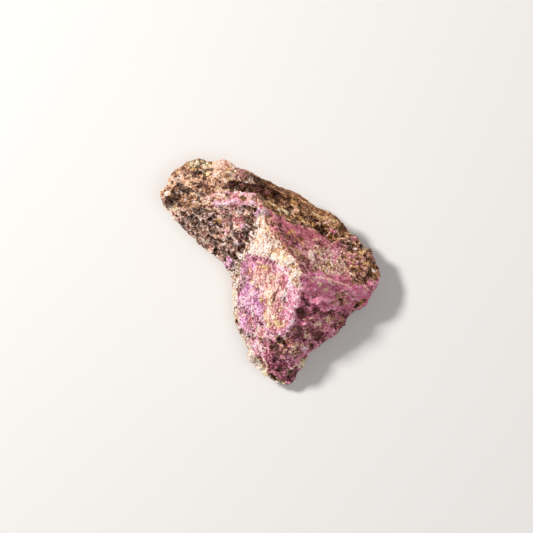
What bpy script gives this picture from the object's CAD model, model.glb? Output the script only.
"""A rough purpurite specimen on a plain pale surface, seen from straight above as in the reference."""

import math

import bmesh
import bpy
import numpy as np
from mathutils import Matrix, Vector, noise


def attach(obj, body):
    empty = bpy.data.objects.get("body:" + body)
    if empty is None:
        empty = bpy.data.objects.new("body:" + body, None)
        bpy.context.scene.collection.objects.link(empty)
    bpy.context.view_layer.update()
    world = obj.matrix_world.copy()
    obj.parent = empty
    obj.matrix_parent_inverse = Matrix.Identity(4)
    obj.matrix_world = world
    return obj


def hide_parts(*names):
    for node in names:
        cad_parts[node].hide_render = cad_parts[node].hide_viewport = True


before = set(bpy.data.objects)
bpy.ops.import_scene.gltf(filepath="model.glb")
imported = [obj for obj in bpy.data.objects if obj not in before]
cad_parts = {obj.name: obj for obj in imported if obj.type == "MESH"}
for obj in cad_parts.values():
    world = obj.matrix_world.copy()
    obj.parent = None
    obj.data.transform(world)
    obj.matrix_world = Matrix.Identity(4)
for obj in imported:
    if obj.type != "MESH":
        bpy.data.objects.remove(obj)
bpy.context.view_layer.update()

# The stone: one loose broken piece of purpurite with quartz, brown rock and pale matrix grown through it. It
# starts as the CAD solid remeshed closely. Each part of it then gets its own broken grain, and each kind of
# rock in it is stored on the mesh as a mask from 0 to 1, which the material reads.

MM = 0.001
VOXEL = 0.235
UNDERSIDE_FACING = 0.05
UNDERSIDE_KEPT = 0.58

block = bmesh.new()
block.from_mesh(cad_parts["purpurite_stone"].data)
bmesh.ops.remove_doubles(block, verts=block.verts[:], dist=0.001 * MM)
stone_mesh = bpy.data.meshes.new("stone_surface")
block.to_mesh(stone_mesh)
block.free()
stone = bpy.data.objects.new("stone_surface", stone_mesh)
bpy.context.scene.collection.objects.link(stone)
remesh = stone.modifiers.new("Remesh", "REMESH")
remesh.mode = "VOXEL"
remesh.voxel_size = VOXEL * MM
smooth = stone.modifiers.new("Smooth", "SMOOTH")
smooth.factor = 0.5
smooth.iterations = 6
stone.data = bpy.data.meshes.new_from_object(stone.evaluated_get(bpy.context.evaluated_depsgraph_get()))
stone.modifiers.clear()
under = stone.vertex_groups.new(name="under")
under.add([v.index for v in stone.data.vertices if v.normal.z < UNDERSIDE_FACING], 1.0, "REPLACE")
thin = stone.modifiers.new("Thin the underside", "DECIMATE")
thin.ratio = UNDERSIDE_KEPT
thin.vertex_group = "under"
fine = bpy.data.meshes.new_from_object(stone.evaluated_get(bpy.context.evaluated_depsgraph_get()))
stone.modifiers.clear()
stone.vertex_groups.clear()
stone.data = fine
fine.name = "stone_surface"

# Each point's place in mm, and the way it faces. The work below is in mm, up to where the points are moved.
count = len(fine.vertices)
flat = np.zeros(count * 3, np.float32)
fine.vertices.foreach_get("co", flat)
place = flat.reshape(-1, 3).astype(float) / MM
fine.vertex_normals.foreach_get("vector", flat)
facing = flat.reshape(-1, 3).astype(float)

NOISE_SOFTNESS = 0.7
NOISE_STEP = 2.0
OVAL_REACH = 1.35
OVAL_FADE = 0.6
GRAIN_MIXES = ((12.98, 78.23, 37.71), (93.98, 67.34, 11.53), (26.65, 45.16, 81.42), (54.12, 21.87, 63.07))
GRAIN_SCATTER = 437.5853


def noise_at(points, size, detail=3):
    """Fractal noise of about -1 to 1 at the points, with lumps of this size in mm."""
    return np.array([noise.fractal(p, NOISE_SOFTNESS, NOISE_STEP, detail) for p in points / size])


def line_distance(points, a, b):
    """How far each point is in plan from the straight line between a and b."""
    along = np.subtract(b, a)
    start = points[:, :2] - a
    part = np.clip(start @ along / (along @ along), 0.0, 1.0)
    return np.linalg.norm(start - part[:, None] * along, axis=1)


def within(points, corners):
    """How far inside the plan outline each point lies, in mm. Outside it is below zero."""
    inside = np.zeros(len(points), bool)
    nearest = np.full(len(points), 1e9)
    ring = np.array(corners)
    for a, b in zip(ring, np.roll(ring, -1, axis=0)):
        nearest = np.minimum(nearest, line_distance(points, a, b))
        crosses = (a[1] > points[:, 1]) != (b[1] > points[:, 1])
        slope = (b[0] - a[0]) / (b[1] - a[1] if b[1] != a[1] else 1e-9)
        inside ^= crosses & (points[:, 0] < a[0] + (points[:, 1] - a[1]) * slope)
    return np.where(inside, nearest, -nearest)


def patch_value(points, patch):
    """1 in the middle of an oval patch, falling to 0 a little outside its edge."""
    x, y, half_long, half_wide, turn = patch
    c, s = math.cos(math.radians(turn)), math.sin(math.radians(turn))
    right, up = points[:, 0] - x, points[:, 1] - y
    across = np.hypot((right * c + up * s) / half_long, (up * c - right * s) / half_wide)
    return np.clip((OVAL_REACH - across) / OVAL_FADE, 0.0, 1.0)


def grains(points, size):
    """The broken grain that each point lies in: four random numbers of its own, the point's offset from its
    middle, and how far it is from the next grain."""
    middles = np.zeros((len(points), 3))
    edge = np.zeros(len(points))
    for row, point in enumerate(points / size):
        distances, found = noise.voronoi(point)
        middles[row] = found[0]
        edge[row] = distances[1] - distances[0]
    own = np.stack([np.modf(np.abs(np.sin(middles @ mix) * GRAIN_SCATTER))[0] for mix in GRAIN_MIXES], axis=1)
    return own, points / size - middles, edge


# The outline of each part of the stone, seen from above, as corners in mm.
outlines = {
    "flank": [
        (-29.1, 19.0), (-25.2, 18.5), (-20.7, 18.2), (-15.4, 19.0), (-10.6, 19.6), (-6.4, 19.0),
        (-3.6, 19.0), (-3.7, 15.4), (-4.6, 10.6), (-6.3, 7.0), (-8.4, 4.2), (-10.6, 0.3), (-11.8, -0.3),
        (-14.0, 3.1), (-19.6, 5.0), (-26.2, 10.0), (-30.6, 15.5),
    ],
    "trough": [
        (-12.3, 25.5), (-9.8, 26.3), (-5.6, 25.5), (-1.1, 24.4), (2.8, 22.7), (7.3, 20.2), (11.8, 17.1),
        (16.8, 13.7), (21.3, 11.5), (24.0, 11.4), (20.7, 8.7), (17.1, 9.0), (13.4, 11.2), (8.7, 12.3),
        (5.6, 14.3), (1.7, 15.7), (0.0, 17.1), (-2.0, 19.6), (-3.4, 21.8), (-6.7, 23.2), (-10.6, 23.8),
    ],
    "rib": [
        (-8.4, 30.0), (-3.9, 30.8), (1.7, 27.8), (8.4, 24.7), (14.0, 21.8), (20.2, 18.7), (25.0, 13.2),
        (24.0, 11.4), (21.3, 11.5), (16.8, 13.7), (11.8, 17.1), (7.3, 20.2), (2.8, 22.7), (-1.1, 24.4),
        (-5.6, 25.5), (-7.6, 26.6),
    ],
    "quartz": [
        (-23.5, 33.6), (-19.6, 34.8), (-16.2, 33.6), (-15.7, 28.3), (-17.9, 26.6), (-20.7, 28.3),
        (-23.0, 29.4),
    ],
    "pale top": [
        (-16.2, 34.5), (-10.6, 34.2), (-9.0, 30.0), (-9.5, 27.2), (-13.4, 26.6), (-16.0, 27.7),
    ],
    "right": [
        (-3.4, 20.4), (-2.0, 19.6), (0.0, 17.1), (1.7, 15.7), (5.6, 14.3), (8.7, 12.3), (13.4, 11.2),
        (17.1, 9.0), (20.7, 8.7), (24.1, 8.7), (28.0, 5.9), (30.1, 1.4), (33.8, -1.1), (32.1, -4.5),
        (29.7, -7.6), (25.6, -10.8), (21.0, -10.1), (18.2, -9.2), (14.6, -8.4), (10.6, -7.0), (7.8, -5.3),
        (8.7, -2.0), (8.1, 1.4), (6.4, 4.2), (3.9, 7.0), (1.1, 9.8), (-0.8, 13.2), (-2.2, 16.5),
        (-3.6, 19.3),
    ],
    "lace": [
        (10.6, 6.4), (15.7, 7.6), (21.0, 6.4), (22.4, 2.5), (21.0, -0.8), (16.2, -0.3), (11.8, 0.8),
    ],
    "right lobe": [
        (19.6, 8.4), (24.1, 11.8), (30.6, 8.4), (34.1, 0.6), (30.0, -2.0), (25.2, -3.3), (22.4, -2.0),
        (20.7, 3.1),
    ],
    "south": [
        (7.8, -5.3), (10.6, -7.0), (14.6, -8.4), (18.2, -9.2), (21.0, -10.1), (27.6, -11.8), (23.4, -15.2),
        (19.2, -20.9), (13.6, -24.1), (11.9, -24.8), (10.2, -28.2), (8.8, -34.5), (5.0, -34.5),
        (1.7, -31.1), (-1.1, -28.3), (-3.1, -23.8), (-1.1, -21.0), (0.6, -18.8), (2.5, -17.6), (5.0, -15.7),
        (6.4, -12.6), (7.3, -8.4),
    ],
    "west": [
        (-7.6, 5.6), (-5.0, 4.8), (-2.2, 4.5), (0.6, 3.4), (3.1, 1.4), (5.0, -0.8), (6.4, -3.1),
        (7.6, -5.0), (7.3, -8.4), (6.4, -12.6), (5.0, -15.7), (2.5, -17.6), (0.6, -18.8), (-1.1, -21.0),
        (-3.1, -23.8), (-4.8, -22.1), (-6.4, -19.0), (-8.1, -15.7), (-9.2, -12.0), (-9.5, -8.1),
        (-9.0, -4.2), (-8.1, 0.8),
    ],
    "west middle": [
        (-3.4, 3.4), (0.6, 2.5), (3.4, 0.3), (5.4, -3.1), (4.9, -6.4), (4.8, -9.2), (4.9, -12.6),
        (4.6, -16.0), (1.1, -17.0), (-1.6, -13.7), (-2.2, -9.8), (-2.8, -4.8), (-4.9, -0.8),
    ],
    "bright edge": [
        (4.2, 2.0), (7.6, -4.2), (7.0, -9.0), (6.4, -13.2), (4.8, -16.5), (2.2, -18.2), (3.4, -13.7),
        (4.5, -7.6), (3.4, -2.0),
    ],
    "low west": [
        (-8.8, -14.6), (-3.4, -15.0), (1.0, -17.6), (-3.1, -23.8), (-5.8, -21.1),
    ],
    "band": [
        (-18.5, 21.8), (-15.4, 22.6), (-10.6, 22.6), (-6.7, 22.4), (-3.9, 21.8), (-3.4, 19.6), (-6.4, 19.3),
        (-11.2, 20.2), (-15.4, 19.6), (-18.2, 18.8),
    ],
    "wedge": [
        (-3.6, 19.3), (-2.2, 16.5), (-0.8, 13.2), (1.1, 9.8), (3.9, 7.0), (6.4, 4.2), (8.1, 1.4),
        (8.7, -2.0), (7.8, -5.3), (6.4, -3.1), (5.0, -0.8), (3.1, 1.4), (0.6, 3.4), (-2.2, 4.5),
        (-5.0, 4.8), (-7.6, 5.6), (-5.6, 8.4), (-4.2, 12.0), (-3.8, 16.0),
    ],
    "left rim": [
        (-7.6, 5.6), (-8.1, 0.8), (-9.0, -4.2), (-9.5, -8.1), (-9.2, -12.0), (-8.1, -15.7), (-6.4, -19.0),
        (-9.6, -20.6), (-11.5, -16.0), (-12.9, -11.8), (-13.5, -7.6), (-13.8, -3.4), (-11.5, 0.3),
        (-9.2, 3.1),
    ],
    "crust": [
        (-6.7, -19.3), (-4.8, -22.1), (-3.1, -24.4), (-1.1, -27.2), (1.7, -30.0), (4.8, -31.9),
        (2.8, -34.8), (-4.2, -31.4), (-8.2, -27.5), (-9.6, -22.1),
    ],
    "pink line": [
        (-15.9, 20.6), (-13.3, 21.1), (-10.9, 20.7), (-8.4, 20.5), (-5.6, 20.4), (-3.8, 19.9), (-3.9, 18.9),
        (-6.3, 19.0), (-9.1, 19.3), (-12.6, 19.3), (-15.8, 19.5),
    ],
    "dark ledge": [
        (-13.0, 23.0), (-12.3, 24.3), (-10.6, 25.6), (-9.5, 24.9), (-5, 24.9), (-4.5, 27.2), (-2.2, 27.2),
        (0.6, 25.2), (3.9, 23.5), (6.2, 21.6), (5.6, 18.8), (2.8, 19.3), (-0.6, 21.3), (-3.4, 22.4),
        (-8.4, 22.7), (-11.8, 22.7),
    ],
    "upper flank": [
        (-17.9, 18.9), (-12.6, 19.3), (-7.4, 19.0), (-3.8, 18.9), (-3.7, 14.8), (-4.4, 12.0), (-7.7, 12.0),
        (-9.1, 13.8), (-12.6, 14.8), (-16.1, 17.3),
    ],
    "streaked": [
        (-2.3, 16.6), (-0.4, 16.1), (2.8, 13.3), (3.9, 11.0), (6.7, 8.9), (9.8, 7.1), (10.8, 6.4),
        (11.9, 0.8), (8.4, 0.0), (6.7, 3.6), (1.1, 9.8),
    ],
    "purple band": [
        (1.8, 14.3), (7.0, 13.2), (11.2, 12.1), (16.1, 10.4), (19.6, 8.9), (20.7, 8.2), (16.1, 7.8),
        (12.6, 7.7), (9.8, 7.4), (6.7, 9.2), (3.9, 11.0),
    ],
    "low right": [
        (8.3, -0.1), (11.9, 0.7), (21.0, -0.8), (22.4, -2.0), (25.2, -3.4), (32.9, -0.9), (32.9, -4.8),
        (29.4, -7.6), (26.6, -11.1), (21.4, -10.2), (14.7, -8.5), (10.5, -6.9), (8.0, -5.5),
    ],
    "lumps": [
        (7.4, -5.4), (9.8, -6.2), (15.0, -8.2), (21.8, -10.4), (23.4, -11.4), (17.8, -11.4), (11.4, -11.0),
        (8.2, -12.2), (7.0, -10.2),
    ],
    "south middle": [
        (0.6, -16.6), (5.0, -16.2), (8.2, -14.6), (11.4, -17.8), (13.0, -20.2), (11.0, -22.6), (9.8, -24.2),
        (6.6, -22.6), (0.6, -22.4), (-2.2, -22.6), (-1.0, -19.4),
    ],
    "tip": [
        (-3.2, -23.2), (0.6, -22.4), (6.6, -22.8), (9.8, -26.2), (11.4, -28.2), (9.0, -34.2), (5.0, -34.2),
        (2.6, -30.6), (-1.0, -27.4),
    ],
    "west top": [
        (-6.6, 5.4), (-3.0, 4.4), (-0.6, 2.6), (-3.0, 1.8), (-5.0, -0.2), (-6.6, -2.6), (-7.8, -2.6),
        (-8.2, 1.4),
    ],
}

# How each part of the stone breaks: the part, the grain's direction and stretch, its size, how far it stands,
# how wide a spot of one kind of rock is against the grain, and how strong the pale web between the grains is.
# The first part that a point lies in sets its grain, and the last row is for the rest of the stone.
habits = (
    ("flank", (0.7, -0.65, 0.2), 1.35, 1.25, 0.28, 1.0, 0.6),
    ("trough", (0.84, -0.53, -0.05), 2.6, 1.0, 0.2, 0.5, 0.0),
    ("rib", (0.84, -0.53, -0.05), 2.8, 1.0, 0.2, 0.5, 0.1),
    ("lace", (0.86, -0.34, -0.38), 1.2, 1.3, 0.18, 0.5, 0.3),
    ("right", (0.86, -0.34, -0.38), 2.2, 1.0, 0.12, 0.5, 0.0),
    ("south", (0.6, -0.6, -0.4), 1.4, 1.4, 0.26, 0.5, 0.0),
    ("west", (0.10, 0.90, 0.35), 1.6, 0.95, 0.12, 0.5, 0.15),
    ("wedge", (0.2, 0.9, 0.3), 1.8, 0.95, 0.14, 0.5, 0.1),
    ("left rim", (0.1, 0.9, 0.1), 1.5, 1.1, 0.18, 0.5, 0.1),
    ("crust", (1.0, 0.0, 0.0), 1.0, 1.5, 0.24, 0.5, 0.0),
    ("", (1.0, 0.0, 0.0), 1.0, 1.25, 0.26, 1.0, 0.35),
)

# The size, height and share of the tone of each of the three layers of grain, from coarse to fine.
GRAIN_LAYERS = ((2.4, 1.0, 0.34), (1.0, 0.75, 0.33), (0.5, 0.4, 0.33))
GROOVE_WIDTH = 0.16
WEB_WIDTH = 0.09
WANDER_SIZE = 2.4
GRAIN_WANDER = 0.25
BORDER_WANDER = 0.5
BORDER_BLEND = 0.8
LEAN = 2.4
STEP = 1.5
GROOVE_DEPTH = 0.5
GROOVE_SHADE = 0.45

# A number added to the points gives each noise a pattern of its own. The upper side is 1 in over, and the
# underside 0.
wander = np.stack([noise_at(place + shift, WANDER_SIZE, 4) for shift in (11.0, 57.0, 83.0)], axis=1)
over = np.clip((place[:, 2] - 1.5) / 2.0, 0.0, 1.0) * np.clip(facing[:, 2] * 3.0 + 1.2, 0.0, 1.0)
left = np.ones(count)
relief = np.zeros(count)
tone = np.zeros(count)
spot = place.copy()
chance = np.zeros(count)
strongest = np.zeros(count)
web = np.zeros(count)
torn = np.clip(0.75 + 1.6 * noise_at(place + 23.0, 1.6, 3), 0.0, 1.0)
for part, direction, times, size, stand, spotted, webbed in habits:
    share = left.copy()
    if part:
        depth = within(place[:, :2] + BORDER_WANDER * wander[:, :2], outlines[part])
        share *= over * np.clip(0.5 + depth / BORDER_BLEND, 0.0, 1.0)
    left -= share
    here = np.flatnonzero(share > 0.01)
    # The points are shaken, then pressed along the grain, which makes the grains ragged and long.
    axis = np.array(direction) / np.linalg.norm(direction)
    pressed = 1.0 - 1.0 / times
    drawn = place[here] + GRAIN_WANDER * wander[here]
    drawn = drawn - np.outer(drawn @ axis, axis) * pressed
    # Each grain leans and stands by its own numbers, with a groove around it. The web is in the middle layer.
    height = np.zeros(len(here))
    shade = np.zeros(len(here))
    for scale, rise, weight in GRAIN_LAYERS:
        own, offset, edge = grains(drawn + 40.0 * scale, size * scale)
        lean = ((own[:, 1:] - 0.5) * offset).sum(axis=1) * LEAN
        groove = np.clip(1.0 - edge / GROOVE_WIDTH, 0.0, 1.0)
        if scale == 1.0:
            web[here] += share[here] * webbed * np.clip(1.1 - edge / WEB_WIDTH, 0.0, 1.0)
            groove *= 1.0 - 1.6 * webbed
        if scale == spotted:
            middle = -offset * size * scale
            number = own[:, 3]
        height += stand * rise * (lean + STEP * (own[:, 0] - 0.5) - GROOVE_DEPTH * groove)
        shade += weight * (0.8 * own[:, 0] + 0.2 * own[:, 1] - GROOVE_SHADE * groove)
    height += 0.5 * stand * noise_at(drawn + 7.0, size * 0.4, 3)
    relief[here] += share[here] * height
    # The tones of one part are ranked, so that they spread evenly from its darkest grain to its palest.
    even = np.empty(len(here))
    even[np.argsort(shade)] = np.linspace(0.0, 1.0, len(here))
    tone[here] += share[here] * even
    # The kind of rock is picked further on at the middle of a whole grain, by that grain's own number.
    middle += np.outer(middle @ axis, axis) * (times - 1.0)
    mine = share[here] > strongest[here]
    taken = here[mine]
    spot[taken] = place[taken] + middle[mine]
    chance[taken] = number[mine]
    strongest[taken] = share[taken]
web *= torn

# The colours of each kind of rock, from its darkest grains to its palest.
palettes = {
    "beige": [
        (0.12, 0.04, 0.017), (0.27, 0.112, 0.055), (0.48, 0.23, 0.13), (0.66, 0.336, 0.194),
        (0.83, 0.48, 0.29), (0.95, 0.69, 0.47),
    ],
    "black": [
        (0.026, 0.006, 0.002), (0.04, 0.011, 0.004), (0.06, 0.0185, 0.008), (0.078, 0.029, 0.013),
        (0.13, 0.052, 0.027), (0.26, 0.12, 0.075),
    ],
    "olive": [
        (0.03, 0.0107, 0.0026), (0.09, 0.032, 0.0085), (0.19, 0.076, 0.022), (0.32, 0.138, 0.046),
        (0.49, 0.24, 0.09), (0.79, 0.47, 0.212),
    ],
    "umber": [
        (0.094, 0.031, 0.0166), (0.188, 0.07, 0.041), (0.32, 0.133, 0.083), (0.47, 0.212, 0.14),
        (0.64, 0.336, 0.23), (0.86, 0.55, 0.4),
    ],
    "rust": [
        (0.09, 0.034, 0.0135), (0.17, 0.073, 0.0315), (0.27, 0.116, 0.059), (0.38, 0.175, 0.095),
        (0.53, 0.27, 0.153), (0.76, 0.45, 0.28),
    ],
    "grit": [
        (0.055, 0.017, 0.009), (0.15, 0.054, 0.032), (0.31, 0.135, 0.106), (0.5, 0.25, 0.202),
        (0.76, 0.46, 0.38), (0.97, 0.73, 0.63),
    ],
    "plum": [
        (0.065, 0.015, 0.024), (0.165, 0.038, 0.064), (0.29, 0.07, 0.12), (0.44, 0.11, 0.185),
        (0.64, 0.2, 0.3), (0.85, 0.43, 0.54),
    ],
    "shade": [
        (0.0425, 0.012, 0.0102), (0.085, 0.024, 0.024), (0.145, 0.0425, 0.0425), (0.22, 0.072, 0.072),
        (0.34, 0.128, 0.128), (0.53, 0.24, 0.22),
    ],
    "dusk": [
        (0.07, 0.035, 0.035), (0.16, 0.08, 0.085), (0.28, 0.145, 0.16), (0.42, 0.235, 0.265),
        (0.62, 0.41, 0.44), (0.85, 0.68, 0.7),
    ],
    "mauve": [
        (0.17, 0.042, 0.048), (0.34, 0.085, 0.105), (0.49, 0.13, 0.17), (0.6, 0.175, 0.225),
        (0.71, 0.26, 0.31), (0.88, 0.46, 0.45),
    ],
    "magenta": [
        (0.24, 0.055, 0.085), (0.43, 0.1, 0.165), (0.6, 0.15, 0.245), (0.73, 0.2, 0.325),
        (0.85, 0.31, 0.44), (0.95, 0.52, 0.62),
    ],
    "violet": [
        (0.24, 0.06, 0.12), (0.4, 0.13, 0.22), (0.53, 0.2, 0.34), (0.64, 0.28, 0.47), (0.76, 0.38, 0.6),
        (0.9, 0.62, 0.76),
    ],
    "lilac": [
        (0.38, 0.12, 0.23), (0.56, 0.2, 0.38), (0.7, 0.28, 0.52), (0.79, 0.36, 0.62), (0.87, 0.5, 0.73),
        (0.95, 0.71, 0.86),
    ],
    "rose": [
        (0.42, 0.09, 0.16), (0.62, 0.15, 0.27), (0.79, 0.22, 0.37), (0.9, 0.3, 0.47), (0.96, 0.42, 0.58),
        (0.99, 0.6, 0.73),
    ],
    "coral": [
        (0.34, 0.089, 0.104), (0.56, 0.178, 0.195), (0.71, 0.277, 0.28), (0.81, 0.376, 0.35),
        (0.88, 0.52, 0.47), (0.95, 0.75, 0.65),
    ],
    "pink": [
        (0.42, 0.12, 0.18), (0.65, 0.22, 0.32), (0.82, 0.33, 0.45), (0.92, 0.45, 0.58), (0.97, 0.62, 0.74),
        (0.99, 0.84, 0.9),
    ],
    "peach": [
        (0.42, 0.17, 0.1), (0.66, 0.32, 0.19), (0.82, 0.47, 0.3), (0.91, 0.6, 0.41), (0.96, 0.74, 0.56),
        (0.98, 0.88, 0.75),
    ],
    "gold": [
        (0.15, 0.055, 0.0176), (0.36, 0.145, 0.044), (0.6, 0.27, 0.106), (0.77, 0.39, 0.167),
        (0.89, 0.56, 0.264), (0.95, 0.76, 0.46),
    ],
    "straw": [
        (0.5, 0.26, 0.101), (0.72, 0.44, 0.184), (0.86, 0.6, 0.285), (0.93, 0.71, 0.396),
        (0.96, 0.82, 0.54), (0.99, 0.93, 0.72),
    ],
    "bone": [
        (0.32, 0.116, 0.092), (0.55, 0.242, 0.193), (0.78, 0.41, 0.32), (0.94, 0.57, 0.45),
        (0.98, 0.73, 0.59), (0.99, 0.87, 0.74),
    ],
    "cream": [
        (0.24, 0.115, 0.08), (0.56, 0.33, 0.25), (0.76, 0.51, 0.41), (0.84, 0.64, 0.54), (0.89, 0.79, 0.71),
        (0.9, 0.89, 0.86),
    ],
    "grey": [
        (0.102, 0.069, 0.031), (0.337, 0.242, 0.123), (0.57, 0.43, 0.25), (0.71, 0.57, 0.36),
        (0.85, 0.72, 0.49), (0.96, 0.87, 0.67),
    ],
}

# What grows in each part of the stone: how much paler its grains are, how far they differ, how strongly pale
# threads run through it, and the share of each kind of rock. A later part lies over the earlier ones.
parts = {
    "": (
        -0.03, 1.3, 0.25,
        {"black": 0.13, "umber": 0.08, "rust": 0.14, "beige": 0.54, "gold": 0.03, "cream": 0.08},
    ),
    "underside": (
        -0.02, 1.2, 0.15,
        {
            "black": 0.07, "shade": 0.08, "plum": 0.12, "umber": 0.14, "rust": 0.13, "beige": 0.3,
            "grey": 0.1, "cream": 0.06,
        },
    ),
    "pale top": (0.1, 0.8, 0.3, {"rust": 0.08, "beige": 0.57, "coral": 0.12, "peach": 0.13, "cream": 0.1}),
    "quartz": (-0.12, 1.2, 0.1, {"olive": 0.2, "beige": 0.34, "grey": 0.34, "straw": 0.12}),
    "flank": (-0.06, 1.5, 0.35, {"black": 0.27, "umber": 0.12, "dusk": 0.05, "grit": 0.48, "bone": 0.08}),
    "upper flank": (0.0, 1.3, 0.4, {"black": 0.12, "dusk": 0.14, "umber": 0.2, "grit": 0.34, "coral": 0.2}),
    "rib": (-0.06, 0.7, 0.2, {"olive": 0.4, "rust": 0.5, "gold": 0.08, "grit": 0.02}),
    "trough": (0.01, 1.0, 0.4, {"black": 0.06, "olive": 0.7, "rust": 0.18, "gold": 0.06}),
    "dark ledge": (-0.16, 0.8, 0.1, {"black": 0.34, "olive": 0.54, "shade": 0.12}),
    "right": (0.06, 0.75, 0.05, {"plum": 0.05, "umber": 0.05, "mauve": 0.9}),
    "streaked": (0.02, 0.9, 0.15, {"olive": 0.06, "shade": 0.1, "umber": 0.32, "mauve": 0.52}),
    "purple band": (0.03, 0.55, 0.05, {"umber": 0.05, "mauve": 0.93, "shade": 0.02}),
    "lace": (0.22, 1.1, 0.15, {"olive": 0.14, "umber": 0.3, "mauve": 0.5, "bone": 0.06}),
    "low right": (0.12, 0.55, 0.05, {"shade": 0.08, "umber": 0.03, "magenta": 0.89}),
    "right lobe": (
        -0.15, 1.0, 0.3,
        {"black": 0.14, "olive": 0.22, "umber": 0.34, "mauve": 0.22, "gold": 0.08},
    ),
    "south": (0.09, 0.75, 0.1, {"shade": 0.15, "umber": 0.07, "plum": 0.56, "magenta": 0.22}),
    "lumps": (0.03, 0.65, 0.1, {"plum": 0.2, "magenta": 0.8}),
    "south middle": (
        0.08, 1.0, 0.2,
        {"shade": 0.16, "umber": 0.26, "plum": 0.48, "coral": 0.07, "gold": 0.03},
    ),
    "tip": (-0.04, 1.0, 0.2, {"shade": 0.2, "plum": 0.7, "magenta": 0.1}),
    "west": (
        -0.02, 1.3, 0.6,
        {"plum": 0.14, "dusk": 0.1, "violet": 0.48, "lilac": 0.12, "pink": 0.14, "cream": 0.02},
    ),
    "west top": (0.0, 1.0, 0.4, {"plum": 0.3, "magenta": 0.2, "violet": 0.5}),
    "west middle": (
        -0.02, 1.3, 0.6,
        {"plum": 0.06, "pink": 0.24, "coral": 0.62, "peach": 0.04, "cream": 0.04},
    ),
    "bright edge": (0.18, 1.1, 0.2, {"magenta": 0.08, "pink": 0.9, "cream": 0.02}),
    "low west": (0.0, 1.3, 0.8, {"plum": 0.2, "mauve": 0.15, "violet": 0.2, "pink": 0.3, "cream": 0.15}),
    "band": (0.0, 1.3, 0.4, {"umber": 0.18, "coral": 0.38, "beige": 0.26, "pink": 0.06, "cream": 0.12}),
    "pink line": (0.1, 0.9, 0.3, {"umber": 0.1, "coral": 0.3, "pink": 0.5, "cream": 0.1}),
    "wedge": (0.16, 1.2, 0.4, {"umber": 0.04, "gold": 0.02, "peach": 0.24, "cream": 0.7}),
    "left rim": (0.08, 1.35, 0.3, {"umber": 0.08, "coral": 0.08, "grey": 0.2, "cream": 0.64}),
    "crust": (0.26, 0.8, 0.05, {"black": 0.02, "grey": 0.5, "cream": 0.48}),
}

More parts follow.
